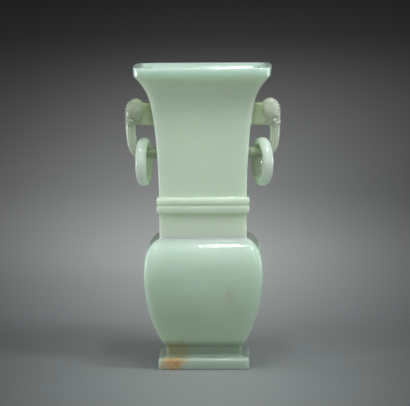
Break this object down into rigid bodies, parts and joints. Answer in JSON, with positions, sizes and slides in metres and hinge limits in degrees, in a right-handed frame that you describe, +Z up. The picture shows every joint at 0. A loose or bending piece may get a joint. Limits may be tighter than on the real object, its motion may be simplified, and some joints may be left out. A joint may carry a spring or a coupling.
{
  "type": "hu vase",
  "caption": "Rectangular hu vase of carved jade with flared mouth, corded neck, swelling body, square foot and animal-head handles with loose rings.",
  "frame": {"origin": "centre of the underside of the foot, on the surface the vase stands on", "axes": "+Z up through the mouth, +X towards the right-hand handle, +Y towards the back, so the front faces -Y"},
  "size_m": [0.1044, 0.0766, 0.2],
  "materials": {
    "jade": "polished",
    "ring_jade": "polished"
  },
  "bodies": {
    "vessel": {"vessel": "jade"},
    "left_ring": {"left_ring": "ring_jade"},
    "right_ring": {"right_ring": "ring_jade"}
  },
  "joints": [
    {"name": "left_ring_swing", "type": "hinge", "parent": "vessel", "child": "left_ring", "pos_m": [-0.03924, 0, 0.1422], "axis": [0.9914, -0.1305, 0], "range_deg": [-105, 105]},
    {"name": "right_ring_swing", "type": "hinge", "parent": "vessel", "child": "right_ring", "pos_m": [0.03924, 0, 0.1422], "axis": [0.9598, 0.2807, 0], "range_deg": [-105, 105]}
  ]
}
